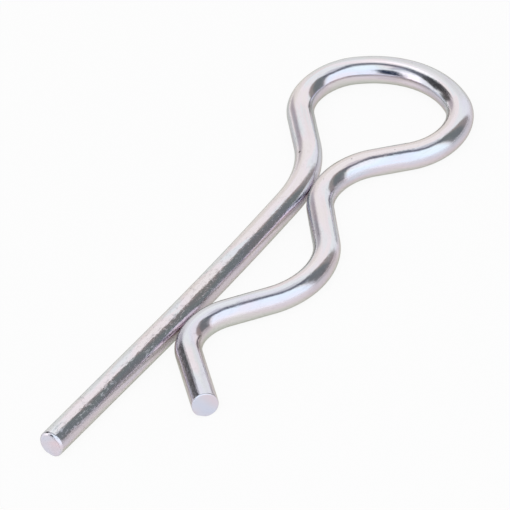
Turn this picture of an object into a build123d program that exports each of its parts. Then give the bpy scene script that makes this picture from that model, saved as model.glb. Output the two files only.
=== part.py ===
from build123d import *
from math import asin, cos, degrees, radians, sin, sqrt
import os

# Hitch R clip pin, in millimetres: one length of spring wire, bent in a single plane.
# It lies on its side. The straight leg points to -X, the bow is at the +X end,
# and the wavy leg comes back beside the straight leg, on its -Y side.
# The path is worked out in the leg's own frame, which starts at the leg's cut end and
# runs along +X, and the finished wire is then set on the floor with its box centred.

# the wire
wire_diameter = 4.0
wire_gap = 0.15          # daylight left where one stretch of wire meets another
end_chamfer = 0.3        # broken edge round each sheared end

# the straight leg, which goes through the cross hole of a shaft
free_stretch = 25.0      # dead straight, from the cut end
set_length = 33.0        # the stretch behind it, which has taken a slight set
set_angle = 3.5          # how far that stretch turns
shoulder_inside = 15.25  # inside radius where the leg turns out to the bow
shoulder_angle = 45.5    # slope of the wire between the shoulder and the bow

# the bow, which a finger pulls
bow_width = 29.6         # over the wire
bow_offset = 0.65        # middle of the bow above the free stretch's axis
bow_side_inside = 5.55
bow_end_inside = 15.2
bow_angle = 50.0         # slope of the wire between the bow and the neck

# the wavy leg, which grips round the outside of the shaft
neck_inside = 6.0
neck_angle = 44.0        # slope of the wire between the neck and the bulge
bulge_depth = 10.7       # from the free stretch's axis to the inside of the bulge
bulge_inside = 8.05
bulge_angle = 41.0       # slope of the wire between the bulge and the tip
tip_inside = 4.9
flare_angle = 49.0       # slope of the flared end, which opens the lead-in
flare_length = 12.1      # straight wire after the tip

wire_radius = wire_diameter / 2
pitch = wire_diameter + wire_gap  # from one wire's axis to the next where they meet
shoulder_radius = shoulder_inside + wire_radius
bow_side_radius = bow_side_inside + wire_radius
bow_end_radius = bow_end_inside + wire_radius
neck_radius = neck_inside + wire_radius
bulge_radius = bulge_inside + wire_radius
tip_radius = tip_inside + wire_radius
left, right = 1, -1      # the way that the wire turns, walking from the leg's cut end


def along(heading):
    """A step of 1 in the direction of heading, which is in degrees from +X."""
    return Vector(cos(radians(heading)), sin(radians(heading)))


def beside(heading):
    """A step of 1 to the right of heading."""
    return Vector(sin(radians(heading)), -cos(radians(heading)))


def next_centre(centre, radius, turn, heading, run, next_radius, next_turn):
    """Centre of the next bend, after a straight run at heading from this one."""
    across = turn * radius - next_turn * next_radius
    return centre + along(heading) * run + beside(heading) * across


def run_to_level(centre, radius, turn, heading, next_radius, next_turn, level):
    """The straight run that puts the next bend's centre at Y = level."""
    start = next_centre(centre, radius, turn, heading, 0, next_radius, next_turn)
    return (level - start.Y) / along(heading).Y


def run_to_touch(centre, radius, turn, heading, next_radius, next_turn, other, distance):
    """The straight run that brings the next bend's centre to a distance from another centre."""
    start = next_centre(centre, radius, turn, heading, 0, next_radius, next_turn)
    apart = start - other
    closing = -apart.dot(along(heading))
    return closing - sqrt(closing**2 - apart.length**2 + distance**2)


def straight_leg():
    """The free stretch, the set and the shoulder, and the shoulder bend's centre."""
    set_radius = set_length / radians(set_angle)
    set_centre = Vector(free_stretch, set_radius)
    set_end = set_centre + beside(set_angle) * set_radius
    shoulder_centre = set_end - beside(set_angle) * shoulder_radius
    steps = [
        ("run", free_stretch),
        ("bend", set_radius, set_angle),
        ("bend", shoulder_radius, shoulder_angle - set_angle),
    ]
    return steps, shoulder_centre


def bow(shoulder_centre):
    """A flattened round: two tight sides joined by a wider end. Gives the lower side's centre."""
    side_height = bow_width / 2 - wire_radius - bow_side_radius
    half_end = degrees(asin(side_height / (bow_end_radius - bow_side_radius)))
    run = run_to_level(
        shoulder_centre, shoulder_radius, left, shoulder_angle,
        bow_side_radius, right, bow_offset + side_height,
    )
    upper = next_centre(
        shoulder_centre, shoulder_radius, left, shoulder_angle, run, bow_side_radius, right
    )
    lower = Vector(upper.X, bow_offset - side_height)
    side_turn = 90 - half_end
    steps = [
        ("run", run),
        ("bend", bow_side_radius, -(shoulder_angle + side_turn)),
        ("bend", bow_end_radius, -2 * half_end),
        ("bend", bow_side_radius, -(side_turn + bow_angle)),
    ]
    return steps, lower


def wavy_leg(shoulder_centre, lower_side):
    """Neck against the shoulder, bulge round the shaft, tip against the leg, flared end."""
    out_of_bow = -180 - bow_angle
    run_a = run_to_touch(
        lower_side, bow_side_radius, right, out_of_bow, neck_radius, left,
        shoulder_centre, shoulder_radius + neck_radius + pitch,
    )
    neck = next_centre(
        lower_side, bow_side_radius, right, out_of_bow, run_a, neck_radius, left
    )
    out_of_neck = -180 + neck_angle
    bulge_level = bulge_radius - bulge_depth - wire_radius
    run_b = run_to_level(
        neck, neck_radius, left, out_of_neck, bulge_radius, right, bulge_level
    )
    bulge = next_centre(neck, neck_radius, left, out_of_neck, run_b, bulge_radius, right)
    out_of_bulge = -180 - bulge_angle
    tip_level = -pitch - tip_radius
    run_c = run_to_level(
        bulge, bulge_radius, right, out_of_bulge, tip_radius, left, tip_level
    )
    return [
        ("run", run_a),
        ("bend", neck_radius, bow_angle + neck_angle),
        ("run", run_b),
        ("bend", bulge_radius, -(neck_angle + bulge_angle)),
        ("run", run_c),
        ("bend", tip_radius, bulge_angle + flare_angle),
        ("run", flare_length),
    ]


def wire_axis(steps):
    """Edges of the wire's centreline, each starting where the last one ended."""
    edges = []
    place, heading = Vector(0, 0), 0.0
    for step in steps:
        if step[0] == "run":
            edge = Line(place, place + along(heading) * step[1])
        else:
            edge = JernArc(place, along(heading), step[1], step[2])
            heading += step[2]
        place = edge @ 1
        edges.append(edge)
    return edges


def bent_wire(edges):
    """The wire itself, round all along, with both sheared ends flat and their edges broken."""
    axis = Wire(edges)
    section = Plane(origin=axis @ 0, z_dir=axis % 0) * Circle(wire_radius)
    wire = sweep(section, path=axis)
    ends = wire.faces().filter_by(GeomType.PLANE)
    return chamfer(ends.edges(), end_chamfer)


leg_steps, shoulder_centre = straight_leg()
bow_steps, lower_side = bow(shoulder_centre)
steps = leg_steps + bow_steps + wavy_leg(shoulder_centre, lower_side)
clip = bent_wire(wire_axis(steps))
box = clip.bounding_box()
clip = Pos(-box.center().X, -box.center().Y, -box.min.Z) * clip

os.makedirs("parts", exist_ok=True)
export_step(clip, "parts/clip_wire.step")
print("steps:", [(s[0], *(round(v, 3) for v in s[1:])) for s in steps])
print("leg's cut end at", round(-box.center().X, 4), round(-box.center().Y, 4))
print("size", box.size, "volume", round(clip.volume, 2), "solids", len(clip.solids()))
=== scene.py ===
# Hitch R clip pin: one length of zinc plated spring wire, lying on its side on a pale floor.
import bpy
from math import asin, atan2, cos, degrees, pi, radians, sin, sqrt
from mathutils import Matrix, Vector


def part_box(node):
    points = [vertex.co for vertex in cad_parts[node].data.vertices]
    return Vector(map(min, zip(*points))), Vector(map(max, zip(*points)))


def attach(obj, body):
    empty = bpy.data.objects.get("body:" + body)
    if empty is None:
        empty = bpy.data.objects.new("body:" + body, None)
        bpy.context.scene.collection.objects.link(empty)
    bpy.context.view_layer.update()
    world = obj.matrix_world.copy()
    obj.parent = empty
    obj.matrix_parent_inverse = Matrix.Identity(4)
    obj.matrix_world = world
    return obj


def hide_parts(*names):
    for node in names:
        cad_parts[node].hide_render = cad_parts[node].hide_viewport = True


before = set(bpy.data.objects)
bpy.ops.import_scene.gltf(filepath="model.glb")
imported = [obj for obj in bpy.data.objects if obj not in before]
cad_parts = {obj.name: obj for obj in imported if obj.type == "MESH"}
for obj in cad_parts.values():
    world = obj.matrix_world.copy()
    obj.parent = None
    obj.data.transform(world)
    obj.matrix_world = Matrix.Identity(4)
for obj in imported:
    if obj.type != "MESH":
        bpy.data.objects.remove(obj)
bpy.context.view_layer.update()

mm = 0.001
cadLow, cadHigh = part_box("clip_wire")
maths, vectors = "ShaderNodeMath", "ShaderNodeVectorMath"
colourA, colourB, mixedColour = 6, 7, 2  # the colour sockets of a Mix node, two in and one out


def addNode(tree, kind, inputs=(), **settings):
    # one node with its settings, and a value or a link for each socket, by name or in order
    node = tree.nodes.new(kind)
    for name, value in settings.items():
        setattr(node, name, value)
    sockets = inputs.items() if isinstance(inputs, dict) else enumerate(inputs)
    for key, value in sockets:
        if isinstance(value, bpy.types.Node):
            value = value.outputs[0]
        if isinstance(value, bpy.types.NodeSocket):
            tree.links.new(value, node.inputs[key])
        else:
            node.inputs[key].default_value = value
    return node


def linearColour(hexColour):  # "#rrggbb" as written on screen, to the linear numbers a shader works in
    parts = [int(hexColour[i:i + 2], 16) / 255 for i in (1, 3, 5)]
    return [p / 12.92 if p <= 0.04045 else ((p + 0.055) / 1.055) ** 2.4 for p in parts] + [1.0]


# The wire's bends, in millimetres and degrees, walking from the straight leg's cut end.
wire = {
    "diameter": 4.0,
    "gap": 0.15,             # daylight where the neck and the tip come against the leg
    "freeStretch": 25.0,     # dead straight
    "setLength": 33.0,       # a slight set behind it
    "setAngle": 3.5,
    "shoulderInside": 15.25,
    "shoulderAngle": 45.5,
    "bowWidth": 29.6,
    "bowOffset": 0.65,
    "bowSideInside": 5.55,
    "bowEndInside": 15.2,
    "bowAngle": 50.0,
    "neckInside": 6.0,
    "neckAngle": 44.0,
    "bulgeDepth": 10.7,
    "bulgeInside": 8.05,
    "bulgeAngle": 41.0,
    "tipInside": 4.9,
    "flareAngle": 49.0,
    "flareLength": 12.1,
    "pathStep": 0.2,         # spacing of the points along the centreline
    "easing": 3.0,           # how far each side of a bend's start its flattening is smoothed
    "undersize": 0.004,      # how far the drawn radius is under the nominal one
}
left, right = 1, -1          # the way that the wire turns


def along(heading):  # a step of 1 in the direction of the heading
    return Vector((cos(radians(heading)), sin(radians(heading))))


def beside(heading):  # a step of 1 to the right of the heading
    return Vector((sin(radians(heading)), -cos(radians(heading))))


# A bend is its centre, its radius and its turn, and following is the next one's radius and turn.
def nextCentre(bend, heading, run, following):
    centre, radius, turn = bend
    nextRadius, nextTurn = following
    return centre + along(heading) * run + beside(heading) * (turn * radius - nextTurn * nextRadius)


def runToLevel(bend, heading, following, level):  # straight run that brings the next centre to y = level
    return (level - nextCentre(bend, heading, 0, following).y) / along(heading).y


def runToTouch(bend, heading, following, other, distance):  # and that brings it to a distance from another
    apart = nextCentre(bend, heading, 0, following) - other
    closing = -apart.dot(along(heading))
    return closing - sqrt(closing**2 - apart.length_squared + distance**2)


def bendSteps(w):  # straight runs and bends, as (length, 0) and (radius, degrees)
    half = w["diameter"] / 2
    pitch = w["diameter"] + w["gap"]
    shoulderRadius, neckRadius = w["shoulderInside"] + half, w["neckInside"] + half
    sideRadius, endRadius = w["bowSideInside"] + half, w["bowEndInside"] + half
    bulgeRadius, tipRadius = w["bulgeInside"] + half, w["tipInside"] + half
    setRadius = w["setLength"] / radians(w["setAngle"])
    setCentre = Vector((w["freeStretch"], setRadius))
    shoulderCentre = setCentre + beside(w["setAngle"]) * (setRadius - shoulderRadius)
    shoulder = (shoulderCentre, shoulderRadius, left)
    sideHeight = w["bowWidth"] / 2 - half - sideRadius
    halfEnd = degrees(asin(sideHeight / (endRadius - sideRadius)))
    intoBow = w["shoulderAngle"]
    runToBow = runToLevel(shoulder, intoBow, (sideRadius, right), w["bowOffset"] + sideHeight)
    upperSide = nextCentre(shoulder, intoBow, runToBow, (sideRadius, right))
    lowerSide = (Vector((upperSide.x, w["bowOffset"] - sideHeight)), sideRadius, right)
    outOfBow = -180 - w["bowAngle"]
    runToNeck = runToTouch(lowerSide, outOfBow, (neckRadius, left), shoulderCentre,
                           shoulderRadius + neckRadius + pitch)
    neck = (nextCentre(lowerSide, outOfBow, runToNeck, (neckRadius, left)), neckRadius, left)
    outOfNeck = -180 + w["neckAngle"]
    runToBulge = runToLevel(neck, outOfNeck, (bulgeRadius, right), bulgeRadius - w["bulgeDepth"] - half)
    bulge = (nextCentre(neck, outOfNeck, runToBulge, (bulgeRadius, right)), bulgeRadius, right)
    outOfBulge = -180 - w["bulgeAngle"]
    runToTip = runToLevel(bulge, outOfBulge, (tipRadius, left), -pitch - tipRadius)
    sideTurn = 90 - halfEnd
    return [
        (w["freeStretch"], 0), (setRadius, w["setAngle"]), (shoulderRadius, intoBow - w["setAngle"]),
        (runToBow, 0), (sideRadius, -intoBow - sideTurn), (endRadius, -2 * halfEnd),
        (sideRadius, -sideTurn - w["bowAngle"]),
        (runToNeck, 0), (neckRadius, w["bowAngle"] + w["neckAngle"]),
        (runToBulge, 0), (bulgeRadius, -w["neckAngle"] - w["bulgeAngle"]),
        (runToTip, 0), (tipRadius, w["bulgeAngle"] + w["flareAngle"]), (w["flareLength"], 0),
    ]


def walk(steps, spacing):  # points of the centreline, and how sharply the wire turns at each
    points, turning = [Vector((0, 0))], [0.0]
    heading = 0.0
    for size, turn in steps:
        length = abs(radians(turn)) * size if turn else size
        count = max(2, round(length / spacing))
        start, sign = points[-1], 1 if turn > 0 else -1
        centre = start - beside(heading) * sign * size
        for i in range(1, count + 1):
            if turn:
                points.append(centre + beside(heading + turn * i / count) * sign * size)
            else:
                points.append(start + along(heading) * size * i / count)
            turning.append(1 / size if turn else 0.0)
        heading += turn
    return points, turning


def wirePath(w):  # the centreline as a mesh of edges, laid where the frame has the wire
    points, turning = walk(bendSteps(w), w["pathStep"])
    half = w["diameter"] / 2 * mm
    topOfPath = max(p.y for p in points) * mm
    origin = Vector((cadLow[0], cadHigh[1] - half - topOfPath, cadLow[2] + half))
    mesh = bpy.data.meshes.new("wirePath")
    places = [origin + Vector((p.x, p.y, 0)) * mm for p in points]
    mesh.from_pydata(places, [(i, i + 1) for i in range(len(places) - 1)], [])
    tightest = max(turning)
    reach = round(w["easing"] / w["pathStep"])
    bent = []  # 1 in the tightest bend, eased where a bend meets a straight run
    for i in range(len(turning)):
        nearby = turning[max(0, i - reach):i + reach + 1]
        bent.append(sum(nearby) / len(nearby) / tightest)
    mesh.attributes.new("bent", "FLOAT", "POINT").data.foreach_set("value", bent)
    return mesh


# How the wire is drawn round its centreline. Sizes are in metres here, as the sockets take them.
wireSkin = {
    "Wire Radius": (wire["diameter"] / 2 - wire["undersize"]) * mm,
    "Broken Edge": 0.3 * mm,             # mean rounding round the leg's sheared end
    "Blade Side": 0.75,                  # share by which that grows on the blade's side
    "Near Blade Turn": radians(72),      # where the blade came from, round the leg's end and the flared end
    "Far Blade Turn": radians(118),
    "Far End Share": 0.45,               # the flared end's rounding and tilt, as a share of the leg end's
    "Flat Depth": 0.05,                  # share of the radius that the other blade pressed flat
    "Flat Length": 1.2 * mm,
    "End Inset": 0.1 * mm,               # how far each end stops short, so that a tilted face stays inside
    "End Tilt": radians(4.0),            # a sheared face is never quite square
    "Rings Along": 880,
    "Rings On Edge": 6,
    "Rings On Face": 9,
    "Points Round": 72,
    "Flattening": 0.014,                 # share of its height that the wire loses in the tightest bend
    "Waviness": 0.006 * mm,              # unevenness that drawing and bending leave
    "Wave Length": 2.2 * mm,
    "Wave Detail": 1.0,
    "Seed": 11.0,
    "Weld Distance": 0.001 * mm,         # points nearer than this become one, which closes the mesh
}


def bentWireTree(material):
    tree = bpy.data.node_groups.new("bentWire", "GeometryNodeTree")
    tree.interface.new_socket("Geometry", in_out="INPUT", socket_type="NodeSocketGeometry")
    for name, value in wireSkin.items():
        kind = "NodeSocketInt" if isinstance(value, int) else "NodeSocketFloat"
        tree.interface.new_socket(name, in_out="INPUT", socket_type=kind).default_value = value
    tree.interface.new_socket("Geometry", in_out="OUTPUT", socket_type="NodeSocketGeometry")
    given = tree.nodes.new("NodeGroupInput").outputs
    curve = addNode(tree, "GeometryNodeMeshToCurve", {"Mesh": given["Geometry"]})
    length = addNode(tree, "GeometryNodeCurveLength", {"Curve": curve})

    # a grid: rows from the middle of one sheared face to the middle of the other, columns round the wire
    endRows = addNode(tree, maths, (given["Rings On Face"], given["Rings On Edge"]), operation="ADD")
    rows = addNode(tree, maths, (endRows, 2.0, given["Rings Along"]), operation="MULTIPLY_ADD")
    grid = addNode(tree, "GeometryNodeMeshGrid", {
        "Size X": 1.0, "Size Y": 1.0,
        "Vertices X": addNode(tree, maths, (rows, 1.0), operation="ADD"),
        "Vertices Y": addNode(tree, maths, (given["Points Round"], 1.0), operation="ADD")})
    place = addNode(tree, "ShaderNodeSeparateXYZ", (addNode(tree, "GeometryNodeInputPosition"),))
    row = addNode(tree, "ShaderNodeMapRange", {
        "Value": place.outputs["X"], "From Min": -0.5, "From Max": 0.5, "To Max": rows})
    turn = addNode(tree, "ShaderNodeMapRange", {
        "Value": place.outputs["Y"], "From Min": -0.5, "From Max": 0.5, "To Max": 2 * pi})
    lastBodyRow = addNode(tree, maths, (rows, endRows), operation="SUBTRACT")
    rowsLeft = addNode(tree, maths, (rows, row), operation="SUBTRACT")
    fromEnd = addNode(tree, maths, (row, rowsLeft), operation="MINIMUM")
    faceShare = addNode(tree, "ShaderNodeMapRange", {"Value": fromEnd, "From Max": given["Rings On Face"]})
    edgeShare = addNode(tree, "ShaderNodeMapRange", {
        "Value": fromEnd, "From Min": given["Rings On Face"], "From Max": endRows})
    bodyShare = addNode(tree, "ShaderNodeMapRange", {
        "Value": row, "From Min": endRows, "From Max": lastBodyRow})

    # the blade rolled the sheared edge over on its own side, and the other blade left a small flat
    bladeTurn = addNode(tree, "ShaderNodeMapRange", {
        "Value": row, "From Max": rows,
        "To Min": given["Near Blade Turn"], "To Max": given["Far Blade Turn"]})
    fromBlade = addNode(tree, maths, (turn, bladeTurn), operation="SUBTRACT")
    towardBlade = addNode(tree, maths, (fromBlade,), operation="COSINE")
    grown = addNode(tree, maths, (towardBlade, given["Blade Side"], 1.0), operation="MULTIPLY_ADD")
    endShare = addNode(tree, "ShaderNodeMapRange", {
        "Value": row, "From Max": rows, "To Min": 1.0, "To Max": given["Far End Share"]})
    brokenEdge = addNode(tree, maths, (given["Broken Edge"], endShare), operation="MULTIPLY")
    edge = addNode(tree, maths, (brokenEdge, grown), operation="MULTIPLY")
    edgeTurn = addNode(tree, maths, (edgeShare, pi / 2), operation="MULTIPLY")
    flatRadius = addNode(tree, maths, (given["Wire Radius"], edge), operation="SUBTRACT")
    faceRadius = addNode(tree, maths, (flatRadius, faceShare), operation="MULTIPLY")
    outward = addNode(tree, maths, (edgeTurn,), operation="SINE")
    radius = addNode(tree, maths, (edge, outward, faceRadius), operation="MULTIPLY_ADD")
    fromFlat = addNode(tree, maths, (radius, towardBlade, given["Wire Radius"]), operation="MULTIPLY_ADD")
    tilted = addNode(tree, maths, (given["End Tilt"], endShare), operation="MULTIPLY")
    slope = addNode(tree, maths, (tilted,), operation="TANGENT")
    lean = addNode(tree, maths, (slope, fromFlat, given["End Inset"]), operation="MULTIPLY_ADD")
    forward = addNode(tree, maths, (edgeTurn,), operation="COSINE")
    rolled = addNode(tree, maths, (1.0, forward), operation="SUBTRACT")
    inset = addNode(tree, maths, (edge, rolled, lean), operation="MULTIPLY_ADD")
    span = addNode(tree, maths, (inset, -2.0, length), operation="MULTIPLY_ADD")
    fromNear = addNode(tree, maths, (bodyShare, span, inset), operation="MULTIPLY_ADD")
    fromFar = addNode(tree, maths, (length, fromNear), operation="SUBTRACT")
    flatShare = addNode(tree, "ShaderNodeMapRange", {
        "Value": addNode(tree, maths, (fromNear, fromFar), operation="MINIMUM"),
        "From Max": given["Flat Length"],
        "To Min": given["Flat Depth"], "To Max": 0.0}, interpolation_type="SMOOTHSTEP")
    flatReach = addNode(tree, maths, (1.0, flatShare), operation="SUBTRACT")
    awayFromBlade = addNode(tree, maths, (towardBlade, -1.0), operation="MULTIPLY")
    leastTowardFlat = 0.05  # keeps the next line from dividing by zero
    towardFlat = addNode(tree, maths, (awayFromBlade, leastTowardFlat), operation="MAXIMUM")
    flatLimit = addNode(tree, maths, (flatReach, towardFlat), operation="DIVIDE")
    flattened = addNode(tree, maths, (flatLimit, 1.0), operation="MINIMUM")
    pressed = addNode(tree, maths, (radius, flattened), operation="MULTIPLY")

    # the wire pulled straight: x and y across it, z along it
    acrossShare = addNode(tree, maths, (turn,), operation="COSINE")
    upShare = addNode(tree, maths, (turn,), operation="SINE")
    straight = addNode(tree, "ShaderNodeCombineXYZ", {
        "X": addNode(tree, maths, (pressed, acrossShare), operation="MULTIPLY"),
        "Y": addNode(tree, maths, (pressed, upShare), operation="MULTIPLY"), "Z": fromNear})

    # unevenness only takes metal away, so the wire is never thicker than its true diameter
    waveScale = addNode(tree, maths, (1.0, given["Wave Length"]), operation="DIVIDE")
    waves = addNode(tree, "ShaderNodeTexNoise", {
        "Vector": straight, "W": given["Seed"],
        "Scale": waveScale, "Detail": given["Wave Detail"]}, noise_dimensions="4D")
    worn = addNode(tree, maths, (given["Waviness"], waves), operation="MULTIPLY")
    wornBody = addNode(tree, maths, (worn, edgeShare), operation="MULTIPLY")
    bodyRadius = addNode(tree, maths, (pressed, wornBody), operation="SUBTRACT")
    sample = addNode(tree, "GeometryNodeSampleCurve", {
        "Curves": curve, "Length": fromNear,
        "Value": addNode(tree, "GeometryNodeInputNamedAttribute", {"Name": "bent"}, data_type="FLOAT")},
        mode="LENGTH", data_type="FLOAT")
    squeezed = addNode(tree, maths, (given["Flattening"], sample.outputs[0]), operation="MULTIPLY")
    height = addNode(tree, maths, (1.0, squeezed), operation="SUBTRACT")
    upRadius = addNode(tree, maths, (bodyRadius, height), operation="MULTIPLY")
    up = (0.0, 0.0, 1.0)
    crossed = addNode(tree, vectors, (sample.outputs["Tangent"], up), operation="CROSS_PRODUCT")
    side = addNode(tree, vectors, (crossed,), operation="NORMALIZE")
    across = addNode(tree, maths, (bodyRadius, acrossShare), operation="MULTIPLY")
    sideways = addNode(tree, vectors, {0: side, "Scale": across}, operation="SCALE")
    upward = addNode(tree, "ShaderNodeCombineXYZ", {
        "Z": addNode(tree, maths, (upRadius, upShare), operation="MULTIPLY")})
    offset = addNode(tree, vectors, (sideways, upward), operation="ADD")
    where = addNode(tree, vectors, (sample.outputs["Position"], offset), operation="ADD")

    # what the finish reads: the straightened wire, and where it was sheared; and a UV map to bake it on
    cutFace = addNode(tree, maths, (1.0, edgeShare), operation="SUBTRACT")
    mesh = grid.outputs["Mesh"]
    for name, kind, domain, value in (
            ("straightWire", "FLOAT_VECTOR", "POINT", straight),
            ("cutFace", "FLOAT", "POINT", cutFace),
            ("UVMap", "FLOAT2", "CORNER", grid.outputs["UV Map"])):
        mesh = addNode(tree, "GeometryNodeStoreNamedAttribute", {
            "Geometry": mesh, "Name": name, "Value": value}, data_type=kind, domain=domain)
    laid = addNode(tree, "GeometryNodeSetPosition", {"Geometry": mesh, "Position": where})
    closed = addNode(tree, "GeometryNodeMergeByDistance", {
        "Geometry": laid, "Distance": given["Weld Distance"]})
    smooth = addNode(tree, "GeometryNodeSetShadeSmooth", {"Geometry": closed})
    real = addNode(tree, "GeometryNodeRealizeInstances", {"Geometry": smooth})
    painted = addNode(tree, "GeometryNodeSetMaterial", {"Geometry": real, "Material": material})
    addNode(tree, "NodeGroupOutput", {"Geometry": painted})
    return tree


def runTree(mesh, tree, settings, name):  # the tree's result as a plain mesh on an object of its own
    carrier = bpy.data.objects.new(name + "Path", mesh)
    bpy.context.collection.objects.link(carrier)
    modifier = carrier.modifiers.new(name, "NODES")
    modifier.node_group = tree
    sockets = {s.name: s.identifier for s in tree.interface.items_tree if s.in_out == "INPUT"}
    for key, value in settings.items():
        modifier[sockets[key]] = value
    bpy.context.view_layer.update()
    made = bpy.data.meshes.new_from_object(carrier.evaluated_get(bpy.context.evaluated_depsgraph_get()))
    made.name = name
    bpy.data.objects.remove(carrier)
    piece = bpy.data.objects.new(name, made)
    bpy.context.collection.objects.link(piece)
    return piece


# Zinc plated spring steel: drawn wire, electroplated with bright zinc and dipped in a clear passivate.
# It mirrors the room softly. The film on it turns the grey to pale rose, lilac and cream. The plate is
# finely orange peeled and specked with dull grains, which break up dark reflections, most of all on the
# straight leg. Millimetres.
zinc = {
    "filmColours": (  # from the underside of the wire to its top, as the dip drained off it
        (0.00, "#dfe0da"), (0.25, "#e3dfdb"), (0.42, "#e8dce0"), (0.56, "#e5dbe5"),
        (0.70, "#dfdfeb"), (0.82, "#e2e5ea"), (0.92, "#ebe2e8"), (1.00, "#eae3e5")),
    "filmDrift": 0.8, "filmStreak": 0.3,   # how far the patches and the streaks shift the film
    "filmLess": (  # how much less of it there is along the wire
        (0, 0.15), (24, 0.12), (34, 0.06), (48, 0.1), (60, 0.02), (80, 0.02), (90, 0.14), (112, 0.1),
        (124, 0.04), (150, 0.02), (168, 0.18), (182, 0.26), (196, 0.28)),
    "edgeTint": "#e2e3d9",                 # at a glancing view
    "faceColours": ((0.25, "#dfe1f0"), (0.5, "#e3dfea"), (0.75, "#ecdbe3")),  # the sheared faces
    "grainRoughness": 0.55,
    "seedSteps": (1.0, 1.7, 2.3),          # how far a seed moves a grain each way
    "grains": {  # size across and along the wire, detail, warp and seed
        "drift": (2.4, 9.0, 1.5, 0.5, 2.0),
        "streak": (0.5, 8.0, 2.0, 0.0, 5.0),
        "peel": (0.42, 0.7, 1.0, 0.5, 13.0),
        "patch": (1.3, 3.0, 1.0, 0.0, 9.0),
        "speck": (0.4, 0.7, 2.0, 0.5, 33.0),
        "drawLine": (0.2, 9.0, 2.0, 0.0, 17.0),  # real ones are a tenth of this, too fine to show
        "gloss": (1.2, 3.0, 2.0, 0.0, 21.0),
        "face": (2.8, 2.8, 0.0, 0.6, 27.0),
    },
    "peelDepth": 0.032, "drawDepth": 0.002,
    "scuff": (  # how peeled and specked the plate is, along the wire
        (0, 1.0), (36, 1.0), (48, 0.6), (60, 0.4), (78, 0.2), (112, 0.2), (118, 0.3), (196, 0.35)),
    "patchFrom": 0.35, "patchTo": 0.6, "patchLeast": 0.3,  # where peel and specks thin out, and how far
    "speckFrom": 0.5, "speckTo": 0.68,     # grain levels where a speck begins and where it is full
    "pitSpacing": 1.7, "pitSize": 0.1, "pitDepth": 0.03,
    "nick": {"along": 67.3, "round": 118.0, "reach": 0.28},  # round is in degrees
    "markCore": 0.4,                       # share of a pit's or the nick's reach that is at full depth
    "markColour": "#5c5654",
    "markShade": 0.8,                      # how far a pit or the nick takes that colour
    "speckShade": 0.1,                     # and how far a dull grain does
    "roughness": 0.12, "speckRoughness": 0.4, "roughnessSpread": 0.05,
}


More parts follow.
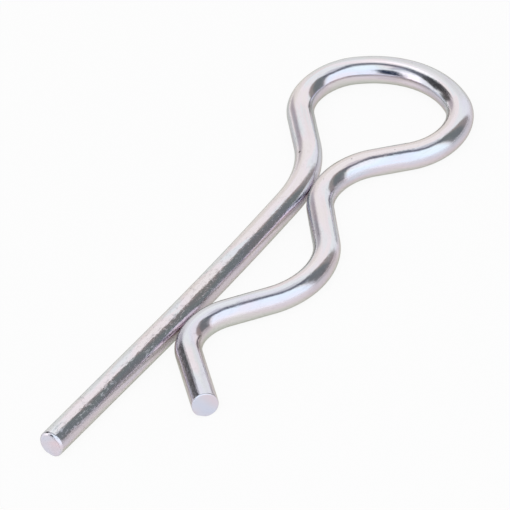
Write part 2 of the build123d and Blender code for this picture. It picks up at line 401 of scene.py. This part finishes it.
def zincPlatedSpringSteel(z):
    material = bpy.data.materials.new("zinc plated spring steel wire")
    material.use_nodes = True
    tree = material.node_tree
    surface = tree.nodes["Principled BSDF"]
    radius = wire["diameter"] / 2
    straight = addNode(tree, "ShaderNodeAttribute", attribute_name="straightWire", attribute_type="GEOMETRY")
    cutFace = addNode(tree, "ShaderNodeAttribute", attribute_name="cutFace", attribute_type="GEOMETRY")
    place = addNode(tree, vectors, {0: straight.outputs["Vector"], "Scale": 1 / mm}, operation="SCALE")
    parts = addNode(tree, "ShaderNodeSeparateXYZ", (place,))

    grains = {}
    for name, (across, length, detail, warp, seed) in z["grains"].items():
        stretched = addNode(tree, "ShaderNodeMapping", {
            "Vector": place, "Location": [seed * step for step in z["seedSteps"]],
            "Scale": (1 / across, 1 / across, 1 / length)})
        grains[name] = addNode(tree, "ShaderNodeTexNoise", {
            "Vector": stretched, "Scale": 1.0, "Detail": detail,
            "Roughness": z["grainRoughness"], "Distortion": warp})

    # the film: thicker underneath, and drifting and streaking along the wire
    drifting = (z["filmDrift"] + z["filmStreak"]) / 2
    level = addNode(tree, "ShaderNodeMapRange", {
        "Value": parts.outputs["Y"], "From Min": -radius, "From Max": radius,
        "To Min": -drifting, "To Max": 1 - drifting})
    drifted = addNode(tree, maths, (grains["drift"], z["filmDrift"], level), operation="MULTIPLY_ADD")
    streaked = addNode(tree, maths, (grains["streak"], z["filmStreak"], drifted), operation="MULTIPLY_ADD")
    film = addNode(tree, maths, (streaked,), operation="SUBTRACT")
    wireLength = z["scuff"][-1][0]
    alongShare = addNode(tree, maths, (parts.outputs["Z"], wireLength), operation="DIVIDE")
    filmStops, faceStops = (
        [(p, linearColour(colour)) for p, colour in z[key]] for key in ("filmColours", "faceColours"))
    lessStops, scuffStops = (
        [(p / wireLength, (share, share, share, 1)) for p, share in z[key]] for key in ("filmLess", "scuff"))
    ramps = {}
    for name, factor, stops in (
            ("film", film, filmStops), ("face", grains["face"], faceStops),
            ("filmLess", alongShare, lessStops), ("scuff", alongShare, scuffStops)):
        ramps[name] = addNode(tree, "ShaderNodeValToRGB", (factor,))
        elements = ramps[name].color_ramp.elements
        while len(elements) < len(stops):
            elements.new(0.5)
        for element, (position, colour) in zip(elements, stops):
            element.position = position
            element.color = colour
    tree.links.new(ramps["filmLess"].outputs[0], film.inputs[1])
    tint = addNode(tree, "ShaderNodeMix", {
        "Factor": cutFace.outputs["Fac"],
        colourA: ramps["film"], colourB: ramps["face"]}, data_type="RGBA")

    # pits in the plate, and one nick on the outside of the run into the bow; none on the sheared faces
    plated = addNode(tree, maths, (1.0, cutFace.outputs["Fac"]), operation="SUBTRACT")
    cells = addNode(tree, "ShaderNodeTexVoronoi", {"Vector": place, "Scale": 1 / z["pitSpacing"]})
    cellRandom = addNode(tree, "ShaderNodeSeparateColor", (cells.outputs["Color"],))
    reach = addNode(tree, maths, (cellRandom, z["pitSize"] / z["pitSpacing"]), operation="MULTIPLY")
    pits = addNode(tree, "ShaderNodeMapRange", {
        "Value": cells.outputs["Distance"], "From Min": reach,
        "From Max": addNode(tree, maths, (reach, z["markCore"]), operation="MULTIPLY")})
    nick = z["nick"]
    nickPlace = (radius * cos(radians(nick["round"])), radius * sin(radians(nick["round"])), nick["along"])
    fromNick = addNode(tree, vectors, (place, nickPlace), operation="DISTANCE")
    nicked = addNode(tree, "ShaderNodeMapRange", {
        "Value": fromNick.outputs["Value"],
        "From Min": nick["reach"], "From Max": nick["reach"] * z["markCore"]})
    dents = addNode(tree, maths, (pits, nicked), operation="MAXIMUM")
    marks = addNode(tree, maths, (dents, plated), operation="MULTIPLY")

    # orange peel and dull specks, in patches
    patch = addNode(tree, "ShaderNodeMapRange", {
        "Value": grains["patch"], "From Min": z["patchFrom"], "From Max": z["patchTo"],
        "To Min": z["patchLeast"], "To Max": 1.0})
    scuffed = addNode(tree, maths, (ramps["scuff"], plated), operation="MULTIPLY")
    peelShare = addNode(tree, maths, (scuffed, patch), operation="MULTIPLY")
    speck = addNode(tree, "ShaderNodeMapRange", {
        "Value": grains["speck"], "From Min": z["speckFrom"], "From Max": z["speckTo"]})
    dull = addNode(tree, maths, (speck, peelShare), operation="MULTIPLY")
    peel = addNode(tree, maths, (grains["peel"], peelShare), operation="MULTIPLY")
    lined = addNode(tree, maths, (grains["drawLine"], z["drawDepth"]), operation="MULTIPLY")
    peeled = addNode(tree, maths, (peel, z["peelDepth"], lined), operation="MULTIPLY_ADD")
    height = addNode(tree, maths, (marks, -z["pitDepth"], peeled), operation="MULTIPLY_ADD")
    bump = addNode(tree, "ShaderNodeBump", {"Height": height, "Distance": mm})

    shaded = addNode(tree, maths, (dull, z["speckShade"]), operation="MULTIPLY")
    darkened = addNode(tree, maths, (marks, z["markShade"], shaded), operation="MULTIPLY_ADD")
    base = addNode(tree, "ShaderNodeMix", {
        "Factor": darkened, colourA: tint.outputs[mixedColour],
        colourB: linearColour(z["markColour"])}, data_type="RGBA")
    smooth = addNode(tree, maths, (dull, z["speckRoughness"], z["roughness"]), operation="MULTIPLY_ADD")
    gloss = addNode(tree, maths, (grains["gloss"], z["roughnessSpread"], smooth), operation="MULTIPLY_ADD")
    tree.links.new(base.outputs[mixedColour], surface.inputs["Base Color"])
    tree.links.new(gloss.outputs[0], surface.inputs["Roughness"])
    tree.links.new(bump.outputs[0], surface.inputs["Normal"])
    surface.inputs["Metallic"].default_value = 1.0
    surface.inputs["Specular Tint"].default_value = linearColour(z["edgeTint"])
    return material


plating = zincPlatedSpringSteel(zinc)
clip = runTree(wirePath(wire), bentWireTree(plating), wireSkin, "clipWire")
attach(clip, "root")
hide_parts("clip_wire")
print("wire bent:", len(clip.data.vertices), "points,", len(clip.data.polygons), "faces")


# The photograph's view, from the ellipses of the two cut ends and the outline of the wire.
view = {
    "elevation": 38.53,      # degrees above the floor
    "azimuth": 46.79,        # degrees round from the leg's own line
    "roll": -14.43,
    "distance": 3.2,         # metres: a long lens, so hardly any perspective
    "target": (1.086, -1.095, 2.0),  # millimetres, what the middle of the picture looks at
    "pixelsPerWire": 27.93,  # the wire's diameter in the picture, at the target
    "pictureWidth": 510,
    "sensor": 36.0,
    "clip": (0.1, 50.0),     # metres: the nearest and farthest that it sees
}


def placeCamera(v):
    elevation, azimuth, roll = (radians(v[k]) for k in ("elevation", "azimuth", "roll"))
    back = Vector((-cos(elevation) * cos(azimuth), -cos(elevation) * sin(azimuth), sin(elevation)))
    level = Vector((0, 0, 1)).cross(back).normalized()
    upright = back.cross(level)
    rightward = level * cos(roll) + upright * sin(roll)
    upward = upright * cos(roll) - level * sin(roll)
    camera = bpy.data.objects.new("camera", bpy.data.cameras.new("camera"))
    bpy.context.collection.objects.link(camera)
    place = Vector(v["target"]) * mm + back * v["distance"]
    turned = Matrix((rightward, upward, back)).transposed()
    camera.matrix_world = Matrix.Translation(place) @ turned.to_4x4()
    focalPixels = v["pixelsPerWire"] / (wire["diameter"] * mm) * v["distance"]
    camera.data.sensor_width = v["sensor"]
    camera.data.lens = focalPixels / v["pictureWidth"] * v["sensor"]
    camera.data.clip_start, camera.data.clip_end = v["clip"]
    bpy.context.scene.camera = camera
    return back


toCamera = placeCamera(view)
print("camera placed")


# The studio: a pale floor, soft light from above, and bright panels and dark gaps that only the metal sees.
# Directions are seen from the wire: degrees round from the camera, anticlockwise from above, and degrees up.
# A panel has four corners, from the lower left, or a spine and a width. A nearer one hides a farther one.
# Its fade is the share of its width and of its height over which it softens to nothing at each edge.
studio = {
    "floorSize": 8.0,
    "boardColour": "#f4f4f5",
    "cameraWhite": 0.91,        # share of the floor that is plain white to the camera
    "mirrorWhite": 0.33,        # and to the metal
    "mirrorLevel": 0.95,        # how bright that white is to the metal
    "floorIOR": 1.65,           # the metal also sees the room in the floor, at low angles
    "floorRoughness": 0.15,
    "worldLevel": 0.65,         # the room's light on the floor; the camera and the metal see the room at 1
    "lampWatts": 5.6, "lampSize": 1.2, "lampPlace": (-0.45, -0.5, 1.3),
    "panelQuads": 12,           # up each panel, and shared out along its stretches
    "panels": {
        "cameraSoftbox": {"corners": ((-46, -1), (58, -1), (40, 72), (-96, 70)), "distance": 0.8,
                          "light": 1.25, "colour": "#eff9fe", "fade": (0.06, 0.05)},
        "backCard": {"corners": ((138, -1), (216, -1), (212, 34), (146, 34)), "distance": 0.9,
                     "light": 0.96, "colour": "#f8f6f2", "fade": (0.25, 0.4)},
        "zenithCard": {"corners": ((50, 64), (125, 62), (160, 80), (0, 86)), "distance": 0.78,
                       "light": 0.78, "colour": "#f2f0f6", "fade": (0.25, 0.3)},
        "sideHaze": {"corners": ((59, -1), (119, -1), (122, 60), (54, 67)), "distance": 0.76,
                     "light": 0.38, "colour": "#f8eae4", "fade": (0.1, 0.1)},
        "sideGap": {"corners": ((61, -1), (100, -1), (118, 64), (50, 67)), "distance": 0.72,
                    "light": 0.25, "colour": "#e6efee", "fade": (0.22, 0.16)},
        "overheadGap": {"spine": ((88, 60), (66, 63), (44, 66), (26, 73), (8, 79), (-30, 82), (-90, 83),
                                  (-130, 74), (-126, 62), (-117, 49)), "width": 26, "distance": 0.71,
                        "light": 0.2, "colour": "#d8dcf4", "fade": (0.05, 0.4)},
        "leftGap": {"corners": ((-168, 37), (-114, 10), (-106, 42), (-152, 50)), "distance": 0.75,
                    "light": 0.06, "colour": "#eef0f6", "fade": (0.08, 0.2)},
        "leftHaze": {"corners": ((-152, 38), (-112, 28), (-104, 54), (-138, 60)), "distance": 0.76,
                     "light": 0.26, "colour": "#dcdff2", "fade": (0.15, 0.2)},
        "backHaze": {"corners": ((-166, 3), (-138, 1), (-138, 35), (-167, 39)), "distance": 0.8,
                     "light": 0.6, "colour": "#f0eaf2", "fade": (0.35, 0.3)},
        "backPost": {"spine": ((-153, 36), (-149, 32), (-143, 25), (-138, 19), (-134, 12), (-132, 0)),
                     "width": 19, "distance": 0.36, "light": 0.11, "colour": "#ecece8", "fade": (0.17, 0.35)},
        "topGap": {"corners": ((-122, 52), (-74, 43), (-78, 53), (-125, 63)), "distance": 0.7,
                   "light": 0.6, "colour": "#dfe4f6", "fade": (0.15, 0.3)},
        "nearGap": {"corners": ((-80, 0), (-48, 4), (-46, 41), (-82, 46)), "distance": 0.7,
                    "light": 0.06, "colour": "#5a98f0", "fade": (0.24, 0.24)},
        "narrowSoftbox": {"corners": ((-99, -1), (-80, -1), (-79, 44), (-111, 43)), "distance": 0.65,
                          "light": 1.4, "colour": "#ffffff", "fade": (0.15, 0.1)},
        "backSoftbox": {"corners": ((-177, 42), (-146, 45), (-151, 57), (-179, 59)), "distance": 0.7,
                        "light": 1.35, "colour": "#ffffff", "fade": (0.2, 0.22)},
    },
}


def directionOf(turn, up):  # from the wire, with turn measured round from the camera
    turn = radians(turn) + atan2(toCamera.y, toCamera.x)
    return Vector((cos(radians(up)) * cos(turn), cos(radians(up)) * sin(turn), sin(radians(up))))


def panelEdges(p):  # the panel's lower and upper edge, as directions
    if "corners" in p:
        lowLeft, lowRight, highRight, highLeft = (directionOf(*corner) for corner in p["corners"])
        return (lowLeft, lowRight), (highLeft, highRight)
    spine = [directionOf(*point) for point in p["spine"]]
    lower, upper = [], []
    for i, middle in enumerate(spine):
        forward = spine[min(i + 1, len(spine) - 1)] - spine[max(i - 1, 0)]
        outward = middle.cross(forward).normalized() * radians(p["width"]) / 2
        lower.append(middle - outward)
        upper.append(middle + outward)
    return lower, upper


def panelMaterial(name, p):
    material = bpy.data.materials.new(name)
    material.use_nodes = True
    tree = material.node_tree
    tree.nodes.clear()
    light = addNode(tree, "ShaderNodeEmission", {"Color": linearColour(p["colour"]), "Strength": p["light"]})
    uv = addNode(tree, "ShaderNodeSeparateXYZ", (addNode(tree, "ShaderNodeUVMap", uv_map="UVMap"),))
    edge = 0.5  # from the middle of the panel to its edge, where its whole width or height is 1
    shares = []
    for axis, fade in zip(("X", "Y"), p["fade"]):
        fromMiddle = addNode(tree, maths, (uv.outputs[axis], edge), operation="SUBTRACT")
        size = addNode(tree, maths, (fromMiddle,), operation="ABSOLUTE")
        shares.append(addNode(tree, "ShaderNodeMapRange", {
            "Value": size, "From Min": edge, "From Max": edge - fade}, interpolation_type="SMOOTHSTEP"))
    share = addNode(tree, maths, shares, operation="MULTIPLY")
    mix = addNode(tree, "ShaderNodeMixShader", (share, addNode(tree, "ShaderNodeBsdfTransparent"), light))
    addNode(tree, "ShaderNodeOutputMaterial", {"Surface": mix})
    return material


def addPanel(name, p, quads):
    lower, upper = panelEdges(p)
    stretches = len(lower) - 1
    rows, each = quads, max(2, quads // stretches)  # quads up the panel, and along each stretch of it
    columns = stretches * each
    places, faces, corners = [], [], []
    for j in range(rows + 1):
        for i in range(columns + 1):
            stretch = min(i // each, stretches - 1)
            share = i / each - stretch
            low = lower[stretch].lerp(lower[stretch + 1], share)
            high = upper[stretch].lerp(upper[stretch + 1], share)
            places.append(low.lerp(high, j / rows).normalized() * p["distance"])
    for j in range(rows):
        for i in range(columns):
            a = j * (columns + 1) + i
            faces.append((a, a + 1, a + columns + 2, a + columns + 1))
            corners += [((i + u) / columns, (j + v) / rows) for u, v in ((0, 0), (1, 0), (1, 1), (0, 1))]
    mesh = bpy.data.meshes.new(name)
    mesh.from_pydata(places, [], faces)
    mesh.uv_layers.new(name="UVMap").data.foreach_set("uv", [c for corner in corners for c in corner])
    mesh.materials.append(panelMaterial(name, p))
    panel = bpy.data.objects.new(name, mesh)
    bpy.context.collection.objects.link(panel)
    panel.visible_camera = panel.visible_diffuse = panel.visible_shadow = panel.visible_transmission = False


# Satin white board: matt and pale to the eye, with a soft shine at low angles that only the metal sees.
def floorMaterial(s):
    material = bpy.data.materials.new("satin white board")
    material.use_nodes = True
    tree = material.node_tree
    tree.nodes.clear()
    board = addNode(tree, "ShaderNodeBsdfDiffuse", {"Color": linearColour(s["boardColour"])})
    path = addNode(tree, "ShaderNodeLightPath")
    mirrored = addNode(tree, maths, (path.outputs["Is Glossy Ray"], path.outputs["Is Transmission Ray"]),
                       operation="MAXIMUM")
    whiteLevel = addNode(tree, "ShaderNodeMapRange", {
        "Value": mirrored, "To Min": 1.0, "To Max": s["mirrorLevel"]})
    white = addNode(tree, "ShaderNodeEmission", {"Strength": whiteLevel})
    seen = addNode(tree, maths, (path.outputs["Is Camera Ray"], s["cameraWhite"]), operation="MULTIPLY")
    share = addNode(tree, maths, (mirrored, s["mirrorWhite"], seen), operation="MULTIPLY_ADD")
    pale = addNode(tree, "ShaderNodeMixShader", (share, board, white))
    sheen = addNode(tree, "ShaderNodeBsdfGlossy", {"Color": (1, 1, 1, 1), "Roughness": s["floorRoughness"]})
    grazing = addNode(tree, "ShaderNodeFresnel", {"IOR": s["floorIOR"]})
    sheenShare = addNode(tree, maths, (mirrored, grazing), operation="MULTIPLY")
    satin = addNode(tree, "ShaderNodeMixShader", (sheenShare, pale, sheen))
    addNode(tree, "ShaderNodeOutputMaterial", {"Surface": satin})
    return material


def addFloor(s):
    mesh = bpy.data.meshes.new("floor")
    half = s["floorSize"] / 2
    corners = [(-half, -half, 0), (half, -half, 0), (half, half, 0), (-half, half, 0)]
    mesh.from_pydata(corners, [], [(0, 1, 2, 3)])
    mesh.materials.append(floorMaterial(s))
    floor = bpy.data.objects.new("floor", mesh)
    bpy.context.collection.objects.link(floor)


def addWorld(s):
    world = bpy.data.worlds.new("studio")
    bpy.context.scene.world = world
    world.use_nodes = True
    tree = world.node_tree
    tree.nodes.clear()
    path = addNode(tree, "ShaderNodeLightPath")
    mirrored = addNode(tree, maths, (path.outputs["Is Glossy Ray"], path.outputs["Is Transmission Ray"]),
                       operation="MAXIMUM")
    seen = addNode(tree, maths, (path.outputs["Is Camera Ray"], mirrored), operation="MAXIMUM")
    strength = addNode(tree, "ShaderNodeMapRange", {"Value": seen, "To Min": s["worldLevel"], "To Max": 1.0})
    background = addNode(tree, "ShaderNodeBackground", {"Color": (1, 1, 1, 1), "Strength": strength})
    addNode(tree, "ShaderNodeOutputWorld", {"Surface": background})


def addOverheadLamp(s):
    light = bpy.data.lights.new("overheadSoftbox", "AREA")
    light.size = s["lampSize"]
    light.energy = s["lampWatts"]
    lamp = bpy.data.objects.new("overheadSoftbox", light)
    bpy.context.collection.objects.link(lamp)
    lamp.location = s["lampPlace"]
    lamp.rotation_euler = (-lamp.location).to_track_quat("-Z", "Y").to_euler()
    lamp.visible_glossy = False


addFloor(studio)
addWorld(studio)
addOverheadLamp(studio)
for name, panel in studio["panels"].items():
    addPanel(name, panel, studio["panelQuads"])
bpy.context.scene.view_settings.view_transform = "Standard"
print("studio lit")
